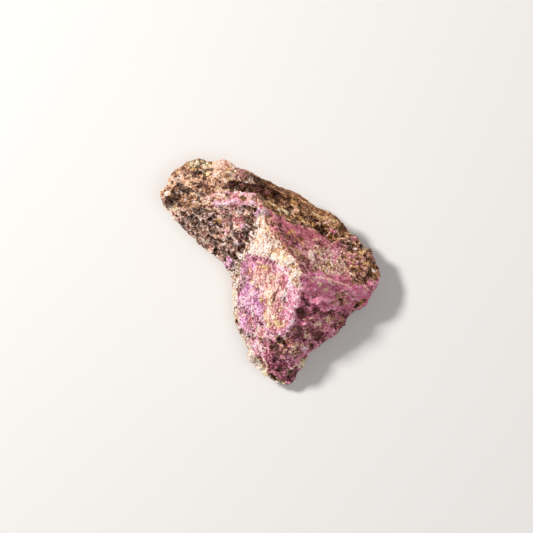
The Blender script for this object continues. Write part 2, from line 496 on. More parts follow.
# Ovals of one kind of rock over those mixtures: middle, half length and half width in mm, turn in degrees.
patches = {
    "mauve": [
        (3.6, -3.1, 0.7, 1.4, 0), (-2.2, -16.5, 0.8, 1.1, 0), (15.1, -2.8, 1.1, 0.8, 0),
        (9.8, 11.8, 2.8, 0.8, -12), (14.6, 9.5, 1.7, 0.8, -15), (21, -2, 1.7, 1.1, -20),
        (-5.6, -14, 0.7, 1.4, 0), (2.8, 14.8, 1.4, 0.7, -10),
    ],
    "magenta": [
        (11.2, -3.9, 2.2, 1.7, 0), (18.5, 6.2, 1, 0.8, 0), (17.6, 3.9, 1.1, 0.7, 0),
        (2.8, -29.4, 1.3, 0.8, -30), (23, -5.9, 1.7, 1.7, 0), (8.4, -2, 0.8, 0.8, 0),
        (7.3, -9.2, 0.8, 0.8, 0),
    ],
    "dusk": [
        (-16.2, 13.7, 1.1, 0.7, -15), (-6.4, 13.2, 1.1, 0.8, 0), (-11.2, 2.5, 0.8, 0.7, 0),
        (-7.3, -1.4, 0.8, 1.4, 0), (-9.5, 8.1, 0.8, 0.7, -30), (-6.7, -17.4, 0.8, 0.8, 0),
        (3.6, -6.7, 0.6, 1.1, 0), (-1.4, 16.8, 1.4, 0.7, -45), (-11.8, 14.3, 0.6, 0.4, 0),
        (5, 21, 0.8, 0.6, 0), (-9.4, -9.0, 0.5, 1.2, 0),
    ],
    "plum": [
        (-7.6, 16, 0.7, 0.4, 0), (-4.2, 4.2, 1.1, 0.8, 0), (-5, 2.5, 0.4, 1.1, 0),
        (-0.3, 3.4, 1.4, 0.7, -20), (-2, 3.9, 0.6, 0.4, 0), (2.2, -2.2, 0.4, 0.8, 0),
        (0, -13.7, 0.4, 0.8, 0), (-3.1, -13.7, 0.6, 0.6, 0), (-2, -18.8, 0.4, 1.4, 0),
        (0, -18.8, 0.3, 1.1, 0), (5.9, 9, 0.8, 0.6, 0), (7.6, 7.6, 1.4, 0.8, -30), (23, 4.5, 0.8, 0.4, 0),
        (24.4, 2.5, 0.8, 0.4, 0), (19.6, 7.6, 1.1, 0.4, 10), (6.7, -18.2, 1.1, 1.1, 0),
        (5, -24.9, 2, 1.4, 0), (0.3, -23.5, 1.1, 1.1, 0), (9.2, -17.4, 0.8, 0.6, 0),
        (29.3, -4.2, 1.5, 1.1, 0), (-8.6, -6.6, 0.6, 1.4, 0),
    ],
    "coral": [
        (-9, 15.4, 1.7, 1, -20), (-10.4, 18.5, 1.4, 0.4, 0), (-11.2, 17.1, 0.8, 0.6, 0),
        (-2.2, -1.1, 2.5, 1.4, 0), (-0.3, -3.4, 1.4, 1.4, 0), (12, 5.9, 0.8, 0.7, 0),
        (2.5, -19.6, 1.1, 0.4, -60), (9.2, -20.2, 0.7, 0.4, 70), (0.6, -10.9, 0.8, 0.8, 0),
        (-4.8, -4.8, 0.8, 0.6, 0), (11.2, 4.4, 1.5, 0.7, -20), (9.5, 2.4, 0.7, 0.9, 0),
        (14.6, 3.6, 0.9, 0.5, 0), (7.2, -19.6, 1.4, 0.7, -30), (3.4, -19.8, 0.9, 0.7, 0),
        (12.6, 3.9, 2.2, 0.9, -15), (5.6, -18.4, 1.4, 0.6, -30), (14.6, -16.4, 1.4, 0.7, -60),
    ],
    "umber": [
        (-20.2, 25.2, 0.8, 0.7, 0), (-17.4, 23.2, 0.8, 0.6, 0), (-15.4, 17.6, 1.4, 0.6, 0),
        (-18.8, 14.6, 0.8, 0.4, 0), (-16.2, 10.6, 0.6, 0.6, 0), (2, 9.8, 1.7, 0.7, -62),
        (0.3, 14.3, 0.8, 0.4, -45), (14.8, 6.4, 1.1, 0.8, 0), (16.8, 2, 1.4, 0.8, -30),
        (12.9, 2.2, 0.8, 1.1, 0), (15.4, 1.4, 0.8, 0.6, 0), (19.3, -6.7, 1.7, 1, -50),
        (17.6, -8.4, 1.4, 0.6, 0), (16.8, -12.6, 1.7, 0.8, 0), (-5, -12, 0.6, 0.4, 0),
        (22.7, 6.7, 1.1, 0.8, 0), (24.1, 0.3, 0.6, 0.4, 0), (-1.7, 18.8, 1.4, 0.6, -40),
        (-21.9, 28.6, 1.0, 0.8, 0), (-18.6, 26.0, 0.8, 0.8, 0), (-12.4, 25.6, 1.5, 0.8, 0),
        (-7.0, 22.8, 2.0, 0.4, -8), (20.7, -7.8, 1.1, 0.5, 60), (19.9, -13.4, 1.1, 0.5, 20),
        (19.4, 1.6, 1.0, 0.8, 0),
    ],
    "olive": [
        (3.6, 7.3, 0.6, 0.6, 0), (28, 2.5, 1.7, 1.1, -50), (25.2, -8.4, 1.4, 0.7, 20),
        (17.6, 9.5, 1.4, 0.7, -15), (-0.8, 1.7, 0.6, 0.4, 0), (6.2, 2, 0.7, 1, 0),
        (1.7, -17.6, 0.6, 0.6, 0), (3.9, -19.9, 0.8, 0.4, -30), (9.2, 9.2, 0.6, 0.3, -45),
        (23, 0.8, 0.8, 0.4, 0), (-9, 23.8, 2.5, 0.8, -8), (16.5, 2.5, 0.6, 0.4, 0), (-7.3, 21, 1.1, 0.5, 0),
        (3.4, 21.6, 2.2, 1.1, -20), (-15.0, 14.6, 1.7, 0.9, -25), (28.6, -0.4, 1.4, 1.0, 0),
        (16.6, 2.6, 0.7, 0.9, 0),
    ],
    "violet": [
        (-3.9, -6.2, 1, 1.3, 0), (-8.1, -7.6, 0.6, 1, 0), (-3.6, -12, 1, 0.6, 0), (-8.1, -10.1, 0.6, 1, 0),
        (-5.6, -9.2, 1.3, 1.6, 0), (9.2, -2.8, 0.8, 0.6, 0), (15.1, -2.5, 0.7, 0.4, 0),
    ],
    "lilac": [
        (-12, 3.6, 0.9, 0.9, 0), (-12.3, 2, 0.9, 1.1, 0), (-15.4, 12.9, 0.5, 0.5, 0),
        (-7.6, 12.9, 0.5, 0.5, 0), (-6.7, -4.8, 2.5, 1.1, 55), (-3.4, -9.5, 1.3, 2.5, 0),
        (-7.6, -13.7, 0.8, 2.5, 0), (-4.5, -8.1, 0.7, 0.9, 0), (-3.4, 16.8, 0.4, 1.4, 0),
        (-12.9, 19.6, 1.1, 0.4, 0),
    ],
    "rose": [
        (13.4, -7.4, 1.8, 0.8, 20), (16.4, -7.7, 1.0, 0.8, 0), (11.2, -9.5, 1.3, 0.7, 10),
        (16.5, -9.7, 2.4, 0.7, 15), (13.4, -19.6, 0.9, 0.4, 0), (8.7, -23.5, 0.9, 0.6, 0),
        (4.2, -27.7, 0.4, 0.9, 0), (9.2, -13.7, 1.1, 0.7, 0), (16, -16.2, 1.1, 0.6, 70),
        (9.9, -21.6, 1.0, 1.2, 0), (5.6, -16.9, 0.8, 0.5, 0), (17.3, 12.0, 0.8, 0.4, -30),
        (15.2, -4.8, 1.6, 0.7, 0), (12.4, 5.2, 0.7, 0.5, 0),
    ],
    "pink": [
        (-11.2, 12, 2.2, 0.4, 5), (6.2, -12.6, 1.2, 2.8, 0), (3.9, -11.2, 0.9, 1.2, 0),
        (2.5, -16.5, 1.8, 0.7, 0), (5.3, -15.4, 0.9, 0.9, 0), (7.3, -7.3, 1.5, 0.8, 45),
        (8.4, -4.8, 1, 0.6, 60), (6.7, -9.2, 0.6, 0.8, 0), (-4.2, -19.6, 0.7, 1.8, 0),
        (-0.8, -20.2, 0.5, 1.5, 0), (1.4, 1.4, 0.9, 0.9, 0), (4.5, -13.7, 0.6, 0.6, 0),
        (-13.4, 19.6, 2.5, 0.6, 0), (-8.4, 19.3, 2.5, 0.5, 0), (-5, 18.8, 1.2, 0.5, 0),
        (2.5, 24.9, 0.9, 0.4, -15), (10.0, -21.8, 1.1, 1.4, 0), (3.9, 0.8, 1.3, 1.0, 0),
    ],
    "peach": [
        (-20.4, 21.6, 1.1, 0.6, 0), (-8.4, 10.6, 0.8, 0.4, 0), (-18.2, 19.9, 1.1, 0.4, -15),
        (-12.3, 12.6, 0.8, 0.3, 0), (-0.3, -7, 1, 2.5, 0), (-1.1, -11.5, 0.7, 1.7, 0),
        (3.9, -13.7, 0.7, 0.7, 0), (2, -0.6, 0.6, 0.6, 0), (-5, -2.2, 0.4, 1.1, 0),
        (6.7, -20.7, 1.1, 0.7, -40), (4.5, -21, 0.7, 0.4, 0), (15.7, -4.8, 1.1, 0.4, 0),
        (13.4, -3.1, 0.4, 0.6, 0), (-7.3, -11.8, 0.4, 0.4, 0), (5.9, -1.7, 0.4, 1.1, 0),
        (7, -2.8, 0.6, 0.6, 0), (6.7, 17.4, 1.4, 0.7, -15), (-2.2, 13.4, 0.8, 2, 20),
        (-12.6, 25.5, 1.1, 0.8, 0), (-14.8, 24.6, 1.0, 0.7, 0), (13.4, -14.3, 0.8, 0.5, 0),
        (16, -13.4, 0.6, 0.3, 0),
    ],
    "gold": [
        (-26.3, 15.1, 0.6, 0.4, -30), (-23, 14.3, 0.6, 0.3, -20), (-5.6, 0.6, 0.4, 0.7, 0),
        (5.9, 11.2, 0.8, 0.6, 0), (25.5, 5.9, 0.7, 0.5, 0), (25.8, 4.5, 0.5, 0.7, 0),
        (26, 2.5, 0.6, 0.5, 0), (-6.4, 29.1, 1.1, 0.5, -20), (-3.6, -3.6, 0.4, 0.4, 0),
        (-15.6, 15.4, 0.4, 0.3, 0), (-12.9, 13.6, 0.6, 0.4, -30), (-7.2, 29.4, 1.6, 0.7, -5),
        (-10.8, 26.4, 0.4, 0.8, 0),
    ],
    "straw": [
        (2.2, -14.3, 1.4, 0.7, -35), (-0.3, -14, 1.3, 0.4, 90), (-7.8, 29.5, 1.7, 0.4, 0),
        (-10.6, 26.6, 0.4, 0.7, 0), (8.1, 0.8, 0.7, 0.5, 0), (-24.9, 18.8, 0.7, 0.6, 0),
        (-2.5, -7.3, 0.6, 0.4, 0), (2.8, -9.8, 0.8, 0.3, 90), (1.1, -12.3, 0.8, 0.4, -60),
        (-1.7, 1.7, 1.3, 0.5, 0), (-26.3, 17.9, 1, 0.5, -20), (3.9, 4.2, 1.1, 0.6, -30),
        (-0.6, 12.6, 0.4, 0.8, 0), (13.2, 15.9, 1.6, 0.4, -25), (3.6, 17.4, 1.4, 0.4, -20),
    ],
    "bone": [
        (-17.9, 15.1, 0.6, 0.6, 0), (-18.8, 12, 0.4, 0.6, 0), (-16.8, 6.7, 1.3, 0.6, -65),
        (-13.2, 9, 1.1, 0.6, 0), (-9, 13.2, 1.1, 0.4, 15), (-7.3, 9.2, 1.1, 0.4, 20),
        (-12.3, 4.8, 0.8, 0.6, 0), (-4.8, 15.1, 0.4, 0.8, 0), (-26.9, 16, 1, 0.6, -45),
        (-16, 23.8, 0.7, 0.6, 0), (-10.6, 7.3, 0.8, 0.3, -40), (-29.4, 24.1, 1.1, 0.8, 0),
        (12.9, 9.2, 1.1, 0.3, 0), (-13.4, 30.8, 2, 1.1, 0), (-17.3, 11.5, 1.2, 1.3, 0),
        (-27.4, 17.2, 1.2, 0.6, -40), (-16.6, 12.4, 0.6, 0.6, 0),
    ],
    "cream": [
        (-18.5, 16.8, 0.6, 0.7, 0), (-20.4, 15.4, 0.6, 0.7, 0), (-18.5, 8.4, 0.7, 0.6, 0),
        (-19, 9.8, 0.4, 0.6, 0), (-15.1, 11.2, 0.5, 0.4, -30), (-13.2, 15.1, 0.4, 0.4, 0),
        (-12.3, 10.6, 0.4, 0.4, 0), (-8.1, 4.5, 1, 0.8, -40), (-9.5, 5.6, 0.6, 0.6, 0),
        (-21, 20.2, 0.8, 0.4, -10), (-10.4, 0.6, 0.8, 0.6, 0), (7.3, -0.3, 0.5, 1, 0),
        (23.8, 6.7, 0.4, 0.4, 0), (29.1, 0.6, 0.4, 0.4, 0), (0, -9, 0.3, 0.8, 0),
        (-10.1, 28.4, 0.6, 0.4, 0), (-5.3, 27.7, 0.4, 0.8, 0), (-5, -23.5, 1.1, 1.4, 0),
        (-3.6, -26, 1.1, 0.7, -40), (-0.8, 7.8, 0.8, 2.0, 0), (-25.8, 26.6, 1.2, 0.7, 35),
        (-5.2, 26.3, 0.9, 1.6, 10), (-7.2, 24.8, 1.9, 0.7, -5),
    ],
    "grey": [
        (-21.3, 23.2, 0.4, 0.6, 0), (-21, 30.8, 2.2, 0.8, 8), (-17.9, 30, 1, 0.7, 0), (28, 6.4, 0.6, 1, 0),
        (26.6, 7, 0.7, 0.4, 0), (-1.7, -27.7, 0.6, 0.6, 0), (9.2, -25.2, 1.4, 0.7, 70),
        (3.6, -31.4, 1.7, 0.4, -20), (2.5, -30.2, 1.1, 0.3, -35),
    ],
    "shade": [
        (-11.8, 15.1, 0.9, 0.6, 0), (-8.4, 8.4, 0.9, 0.9, 0), (-5.9, 10.4, 0.8, 0.6, 0),
        (-14.8, 8.4, 0.9, 0.4, 0), (8.6, -10.6, 1.4, 0.9, 0), (12.9, -10.6, 0.9, 0.7, 0),
        (16.4, -11.2, 3.4, 0.7, 4), (13.4, -17.7, 1.9, 1.2, -20), (10.6, -16.2, 1.2, 0.7, 0),
        (8.7, -14.8, 1.2, 0.4, 0), (5.6, -17.1, 0.9, 0.6, 0), (2, -21.8, 1.7, 1.1, -60),
        (5.9, -28.3, 1.5, 1.1, 0), (13.4, 8.4, 1.2, 0.4, -20), (11.8, -13.2, 0.5, 0.6, 0),
        (17.1, -8.1, 0.9, 0.4, 0), (3.9, -23.8, 0.4, 0.9, 0), (-6.2, -17.9, 0.5, 0.4, 0),
        (-1.1, -26, 0.6, 0.6, 0), (10.4, -8.4, 0.6, 0.7, 0), (-8.1, 23.8, 4.3, 1.1, -6),
        (-10.1, 25.2, 1.2, 0.9, 0), (-0.6, 22.4, 1.5, 0.7, -20), (9.4, -7.0, 0.5, 0.5, 0),
        (-8.2, 27.3, 1.9, 1.5, 0),
    ],
    "black": [
        (-22.1, 15.7, 1.3, 1.4, 0), (-24.1, 16.5, 0.5, 0.5, 0), (-21.8, 13.4, 0.6, 0.5, 0),
        (-24.6, 14, 0.8, 0.4, -30), (-20.4, 12.3, 0.8, 0.4, -30), (-16.5, 9.2, 1.3, 0.6, -10),
        (-15.1, 6.2, 0.6, 1.1, 0), (-13.2, 3.6, 0.5, 0.8, 0), (-16, 12, 0.5, 0.5, 0),
        (-14.3, 10.4, 0.4, 1, 0), (-12.3, 6.4, 1.3, 0.4, -35), (-8.1, 7, 1.6, 0.5, -30),
        (-9.8, 4.2, 1.3, 0.4, -55), (-6.7, 18.5, 1.3, 0.5, -10), (-4.5, 17.1, 0.4, 1.3, 0),
        (-13.4, 16, 1.3, 0.4, -10), (-24.6, 22.7, 0.8, 1, 0), (-26.9, 19.6, 0.8, 0.5, 0),
        (-28.3, 20.7, 0.6, 0.4, 0), (-29.4, 19.6, 0.8, 0.6, 0), (-30.5, 19.9, 0.5, 0.6, 0),
        (-27.4, 23.2, 0.5, 0.6, 0), (-27.2, 24.4, 0.6, 0.4, 0), (-25.8, 24.4, 0.6, 0.4, 0),
        (-28.6, 23.2, 0.4, 0.6, 0), (-23, 19.9, 0.5, 0.4, 0), (-19.3, 28, 0.6, 0.5, 0),
        (-21.6, 26.9, 0.4, 0.4, 0), (-17.4, 26.9, 0.5, 0.5, 0), (-18.5, 26.3, 0.4, 0.4, 0),
        (-18.8, 22.1, 0.5, 0.4, 0), (-21, 28.8, 0.4, 0.4, 0), (1.3, -6.7, 1.4, 0.3, 69),
        (3.1, -18.8, 1.3, 0.6, -50), (0.8, -29.4, 1.3, 0.4, -30), (14.6, 11.5, 1, 0.7, -30),
        (16, 11.8, 0.5, 0.6, 0), (7.6, 15.1, 0.6, 0.4, 0), (5.6, 16.8, 0.8, 0.5, 0),
        (0.8, 17.4, 1, 0.6, -20), (14.3, 13.2, 1, 0.5, -15), (17.4, 9.2, 1, 0.5, 0),
        (2.8, 12.6, 1, 0.4, -60), (0.8, 13.2, 0.5, 0.4, 0), (24.4, 6.2, 0.4, 0.4, 0),
        (26.9, 4.5, 0.5, 0.5, 0), (25.8, 7.3, 0.4, 0.4, 0), (22.4, 8.4, 0.6, 0.4, 0),
        (24.4, -9, 1, 0.5, 20), (19.9, -7.6, 1.1, 0.4, -50), (6.2, 2.5, 0.5, 0.6, 0),
        (-5.9, 29.4, 0.6, 0.3, 0), (-7.8, 29.1, 0.5, 0.4, 0), (-8.4, 24.1, 2.3, 0.5, -10),
        (-5.6, 23, 1.6, 0.5, -25), (-1.4, 21.3, 1.6, 0.5, -20), (4.8, 18.2, 1.3, 0.5, -20),
        (27.7, 1.4, 0.6, 0.8, 0), (28.6, 3.1, 0.4, 0.6, 0), (5.9, -27.7, 1, 0.5, 20),
        (2, 21.6, 1.6, 0.8, -20), (4.8, 20.2, 1.3, 0.8, -20), (-3.6, 26.6, 0.8, 0.6, 0),
        (-6.4, 23.8, 1.3, 0.5, 0), (-11.8, 23.8, 1.6, 0.6, 0), (-2.2, 24.4, 1, 0.6, 0),
        (-23.6, 23.6, 2.2, 1.3, -20), (-26.2, 20.9, 1.5, 1.5, 0), (-20.2, 27.5, 1.3, 0.9, -40),
        (-9.9, 28.9, 0.6, 0.5, 0), (-5.7, 15.2, 0.9, 1.4, 0), (-21.0, 10.9, 1.6, 0.9, -40),
        (-20.0, 17.5, 1.7, 1.1, -20), (-19.4, 13.8, 1.1, 0.8, -20), (-12.4, 23.5, 1.2, 0.5, 0),
        (-8.0, -16.4, 0.6, 0.9, 0), (-9.2, -14.3, 0.5, 0.8, 0), (18.7, 10.8, 1.1, 0.5, -20),
        (-10.2, 23.2, 2.6, 0.5, -3), (-6.0, 14.2, 1.5, 1.2, 0), (-20.6, 12.6, 1.2, 0.9, -30),
        (-14.2, 15.6, 1.2, 0.6, -10), (-15.6, 5.6, 1.1, 1.2, 0), (22.4, 6.6, 1.0, 0.7, 0),
        (-6.6, -21.3, 0.7, 0.6, 0), (-19.0, 24.4, 0.5, 0.6, 0), (-25.6, 25.0, 0.8, 0.5, -20),
        (-28.4, 19.2, 0.9, 0.6, -50), (-6.9, 28.1, 0.4, 0.3, 0), (-4.6, 13.2, 0.7, 1.3, 0),
        (-10.2, 28.2, 0.8, 0.8, 0), (-18.8, 26.6, 0.8, 0.6, 0),
    ],
}

# Thin lines of one kind of rock over the ovals, as corners in mm.
veins = {
    "cream": [
        [(-16.2, 26.6), (-14.3, 27.4), (-11.8, 28), (-10.6, 26.9)],
        [(-9.5, -8.4), (-9.2, -10.4), (-9, -12)],
        [(-7.8, -8.1), (-8.4, -10.1), (-9.2, -11.5)],
        [(-5.3, -9.2), (-5, -11.2), (-4.8, -12.6)],
        [(-3.4, -14.6), (-3.9, -16.5), (-4.5, -18.8)],
        [(-8.4, -2.8), (-9.2, -5), (-9.5, -7.6)],
        [(-8.7, 26.3), (-7.8, 25.2), (-6.2, 24.9), (-4.8, 26), (-4.8, 27.7)],
        [(-6.2, -22.1), (-5.6, -20.2), (-5.9, -18.2)],
        [(-9.5, 29.4), (-7.6, 29.8), (-5.9, 29.4)],
        [(-7.6, 25.2), (-6.2, 25.5), (-5, 26.9)],
    ],
    "bone": [
        [(8.4, 0), (10.1, -0.6), (10.9, -1.7), (12, -2.2)],
        [(11.8, -1.3), (14, -1.1), (16.2, -1.7), (17.9, -2.2), (19.9, -2.8), (21.8, -3.6), (22.7, -3.9)],
        [(16, -2), (17.6, -3.1), (19.3, -3.4)],
        [(21.3, 0.8), (23, -0.6), (24.6, -2)],
        [(25.8, -3.1), (26.9, -4.2), (27.7, -4.5)],
        [(26.3, 0), (27.4, -2)],
        [(16.5, 7.6), (18.2, 8.7), (19.6, 9.4), (21.3, 9.5), (22.4, 9)],
        [(16.8, 12.3), (18.2, 11.8), (19.9, 9.8)],
        [(20.4, 15.1), (21.3, 14), (22.1, 12)],
        [(11.5, 6.7), (12.6, 7.6), (13.4, 7.8)],
        [(11.5, 6.7), (10.9, 5.6)],
        [(16.2, 0.8), (17.4, 0.3), (19, 0.3)],
        [(12, 3.6), (13.2, 3.1)],
        [(19.6, 4.8), (20.4, 3.1), (21, 2)],
        [(9.2, 5.3), (10.6, 4.5), (12, 3.6)],
        [(7.3, -22.1), (8.4, -23.5), (9.2, -24.6)],
        [(5.9, -22.1), (7, -23.5)],
        [(-2, -23.8), (-1.1, -25.5), (-0.6, -26.9)],
        [(5, -27.4), (6.4, -26.6), (8.1, -25.5), (9, -24.6)],
        [(9, -12.6), (10.6, -12.9), (11.5, -12.3)],
        [(12.9, 14), (14.6, 13.7), (16.8, 14.6)],
        [(15.1, 9.8), (16.2, 10.9), (16.8, 12)],
        [(12.9, 7.6), (13.7, 6.4), (14.3, 5)],
        [(14, 4.5), (14.8, 5.3), (16.2, 4.8), (17.6, 5.3)],
        [(14, 4.5), (14.3, 3.1), (13.7, 1.7), (14, 0.8)],
        [
            (14.8, 3.9), (16.7, 4.2), (18.6, 3.4), (20.6, 2.5), (21.1, 1.0), (19.1, -0.4), (17.2, 0.0),
            (15.8, 1.5), (14.8, 3.9),
        ],
        [(16.7, 4.2), (17.2, 2.0), (15.8, 1.5)],
        [(18.6, 3.4), (18.4, 1.5), (20.1, 0.5)],
        [(14.3, 2.0), (15.8, 1.5), (15.3, 0.0), (17.7, -0.9)],
        [(12.4, 6.1), (10.9, 4.6), (13.8, 4.6), (12.4, 6.1)],
    ],
    "gold": [
        [(6.7, 10.4), (7.8, 9.5), (9, 8.4)],
        [(8.4, 14.3), (11.2, 13.7), (14.6, 13.4)],
        [(11.8, 15.4), (15.4, 15.1), (18.5, 14.6)],
        [(-0.6, 19.6), (2.2, 18.2), (5, 18.8)],
        [(7.8, 16), (10.1, 14.8)],
        [(-2.5, -17.1), (-2.5, -18.2), (-2.8, -19.6)],
        [(-11.2, 29.4), (-11.8, 28)],
    ],
    "shade": [
        [(2.5, 12.9), (3.6, 10.4), (4.8, 7.6), (6.2, 5.3)],
        [(23.8, 0.8), (25.8, -1.1), (26.9, -3.1), (28, -4.2)],
        [(21, -4.8), (23, -6.7), (24.4, -8.7)],
        [(7.3, 3.1), (9, 2), (10.1, 0.3)],
        [(14, 0.8), (15.7, -0.3), (17.6, -1.1)],
    ],
    "black": [
        [(4.5, 14.6), (6.2, 14), (9.2, 13.2), (11.8, 12.6), (14, 11.5)],
        [(-11.8, 25.2), (-8.4, 24.1), (-5, 22.7), (-2.2, 21.6)],
        [(0.3, -29.4), (1.7, -30.2), (3.1, -31.1)],
        [(-8.4, 7.8), (-6.7, 6.4), (-6.2, 5.3)],
        [(-10.6, 6.2), (-9.5, 3.9), (-8.1, 2.5)],
    ],
    "pink": [
        [(-16.2, 19.3), (-14.6, 19.9), (-11.8, 19.6), (-8.4, 19.3), (-5.6, 18.8), (-3.9, 18.8)],
        [(-15.7, 21.8), (-12.9, 22.2), (-8.4, 21.9), (-3.9, 21.6)],
    ],
}

# The kinds of one part are shared out by slow noise, so that each grows in clumps of whole grains. The
# underside has wider clumps, and starts where the upper side ends.
VEIN_HALF_WIDTH = 0.17
JUST_UNDER_ALL = 0.9999
PATCH_WANDER = 0.35
VEIN_WANDER = 0.25
CLUMP_SIZE = 2.4
UNDERSIDE_CLUMP_SIZE = 5.0
kinds = list(palettes)
plan = spot[:, :2] + PATCH_WANDER * wander[:, :2]
tight = place[:, :2] + VEIN_WANDER * wander[:, :2]
pick = 0.45 * chance + noise_at(spot + 31.0, CLUMP_SIZE, 4)
below = 0.3 * chance + noise_at(spot + 61.0, UNDERSIDE_CLUMP_SIZE, 4)
kind = np.zeros(count, int)
paler = np.zeros(count)
spread = np.ones(count)
thread = np.zeros(count)
for part, (lift, contrast, threads, shares) in parts.items():
    here = np.arange(count)
    mixed = pick
    if part == "underside":
        here = np.flatnonzero(over < 0.35 + 0.3 * chance)
        mixed = below
    elif part:
        here = np.flatnonzero((within(plan, outlines[part]) > 0.0) & (over > 0.3 * chance + 0.3))
    order = np.empty(len(here))
    order[np.argsort(mixed[here])] = np.linspace(0.0, 1.0, len(here))
    limits = np.cumsum([*shares.values()])
    chosen = np.searchsorted(limits, order * limits[-1] * JUST_UNDER_ALL)
    kind[here] = np.array([kinds.index(name) for name in shares])[chosen]
    paler[here] = lift
    spread[here] = contrast
    thread[here] = threads
for name, ovals in patches.items():
    for oval in ovals:
        kind[(chance < patch_value(plan, oval)) & (over > 0.5)] = kinds.index(name)
for name, lines in veins.items():
    for line in lines:
        away = np.min([line_distance(tight, a, b) for a, b in zip(line, line[1:])], axis=0)
        kind[(away < VEIN_HALF_WIDTH) & (over > 0.5)] = kinds.index(name)
masks = {name: (kind == row).astype(float) for row, name in enumerate(kinds) if row}
masks["thread"] = thread
masks["spread"] = spread
masks["web"] = web
masks["tone"] = np.clip(0.5 + (tone - 0.5) * spread + paler, 0.0, 1.0)
for name, values in masks.items():
    layer = fine.attributes.new(name, "FLOAT", "POINT")
    layer.data.foreach_set("value", values.astype(np.float32))

# Single lumps and hollows: middle, half length and half width in mm, turn in degrees, and height in mm.
bosses = [
    (11.2, -3.9, 2.2, 1.7, 0, 0.35), (15.1, -2.8, 1.1, 0.8, 0, 0.15), (13.4, -7.4, 1.8, 0.8, 20, 0.7),
    (15.4, -7.8, 0.8, 0.8, 0, 0.65), (11.2, -9.5, 0.8, 0.6, 0, 0.65), (7.3, -9, 1.1, 0.8, 0, 0.35),
    (16.5, -9.7, 2.4, 0.7, 15, 0.7), (9.2, -13.7, 1.1, 0.7, 0, 0.4), (16, -16.2, 1.1, 0.6, 70, 0.3),
    (13.4, -19.6, 0.8, 0.4, 0, 0.3), (17.9, 11.5, 1, 0.6, -30, 0.55), (19.6, 9, 2.2, 0.4, 18, 0.3),
    (28, 6.4, 0.7, 1, 0, 0.4), (6.2, -12.6, 1.1, 2.5, 0, 0.3), (3.9, -11.2, 0.8, 1.1, 0, 0.25),
    (2.5, -16.5, 1.7, 0.7, 0, 0.35), (7.6, -7, 1.4, 0.8, 45, 0.35), (7.3, -0.3, 0.6, 1.1, 0, 0.35),
    (5.9, -1.7, 0.5, 1.1, 0, 0.3), (6.4, -20.7, 1.1, 0.8, -40, 0.35), (2.8, -29.4, 1.1, 0.8, -30, 0.3),
    (-5, -23.5, 1.1, 1.4, 0, 0.7), (-3.6, -26, 1.1, 0.8, -40, 0.6), (-1.1, -28.3, 1, 0.8, 0, 0.55),
    (9.2, -25.2, 1.4, 0.7, 70, 0.3), (-11.5, 2.8, 1.7, 1.7, 0, 0.45), (-8.1, 27.2, 1.7, 1.4, 0, 0.5),
    (-20.2, 31.1, 2.5, 1, 5, 0.3), (-13.4, 30.8, 2, 1.1, 0, 0.25), (-17.4, 11.2, 1.1, 0.8, 0, 0.25),
    (-16.8, 6.7, 1.3, 0.6, -65, 0.25), (-10.9, 12.3, 2.2, 0.5, 5, 0.25), (-13.4, 27.2, 2.5, 0.6, 12, 0.35),
    (8.1, -10.4, 1.1, 0.7, 0, -0.6), (12.9, -10.6, 0.9, 0.6, 0, -0.6), (16.4, -11.3, 3.4, 0.6, 4, -0.7),
    (13.4, -17.8, 1.9, 1.1, -20, -0.5), (10.6, -16.2, 1.1, 0.8, 0, -0.25), (17.4, 9.8, 1.5, 0.8, -15, -0.6),
    (14.6, 11.5, 0.8, 0.7, -30, -0.35), (19.9, -7.6, 1.1, 0.6, -50, -0.3), (1.3, -6.7, 1.3, 0.3, 69, -0.4),
    (6.2, 1.7, 0.8, 1.1, 0, -0.4), (2.8, -18.5, 1.1, 0.8, -40, -0.4), (5.3, -17.1, 0.8, 0.6, 0, -0.3),
    (2, -21.8, 1.7, 1.1, -60, -0.3), (6.2, -28.3, 1.7, 1.1, 0, -0.4), (0.8, -29.4, 1.1, 0.4, -30, -0.5),
    (-23.5, 23.2, 1.7, 1.4, 0, -0.45), (-26.6, 20.2, 1.4, 0.8, 0, -0.3), (-19.9, 27.7, 1.1, 0.8, 0, -0.3),
    (-13.7, 23.8, 1.4, 0.6, 10, -0.5), (-22.1, 15.7, 1.1, 1.4, 0, -0.35),
    (-19.6, 17.6, 1.4, 0.8, -20, -0.25), (-21.3, 10.1, 1.1, 0.8, -40, -0.3),
    (-16.5, 9.2, 1.1, 0.6, -10, -0.3), (-15.1, 6.2, 0.6, 1.1, 0, -0.35), (-8.1, 7, 1.7, 0.4, -30, -0.35),
    (-9.8, 4.2, 1.3, 0.4, -55, -0.35), (-6.7, 18.5, 1.3, 0.4, -10, -0.3), (7.6, 7.6, 1.4, 0.8, -30, -0.25),
    (3.1, 10.4, 2.2, 0.4, -60, -0.3), (25.2, -8.4, 1.4, 0.7, 20, -0.3), (-0.3, 3.4, 1.4, 0.7, -20, -0.2),
    (-3.6, -3.6, 0.6, 0.6, 0, -0.2), (16.8, 2, 1.4, 1.1, 0, -0.25), (12.9, 2.2, 0.8, 1.1, 0, -0.2),
    (10.4, -8.4, 0.6, 0.7, 0, -0.35), (9, -6.7, 0.8, 0.8, 0, -0.25), (-7.8, 24.1, 3.9, 1.3, -8, -0.6),
    (3.4, 21.3, 2.5, 1.1, -20, -0.35), (-9.5, 19.6, 5.6, 0.8, 0, 0.3), (-12.6, 22.1, 2.8, 0.4, 5, 0.25),
    (-3.4, 16.8, 0.4, 1.1, 0, 0.3),
]
for *oval, height in bosses:
    relief += height * patch_value(tight, oval) * over

# The relief fades out near the plane that the stone rests on, so that its flat spot stays flat.
FOOT_HEIGHT = 0.8
relief *= np.clip(place[:, 2] / FOOT_HEIGHT, 0.0, 1.0)
moved = (place + facing * relief[:, None]) * MM
fine.vertices.foreach_set("co", moved.astype(np.float32).ravel())
fine.update()
fine.shade_flat()


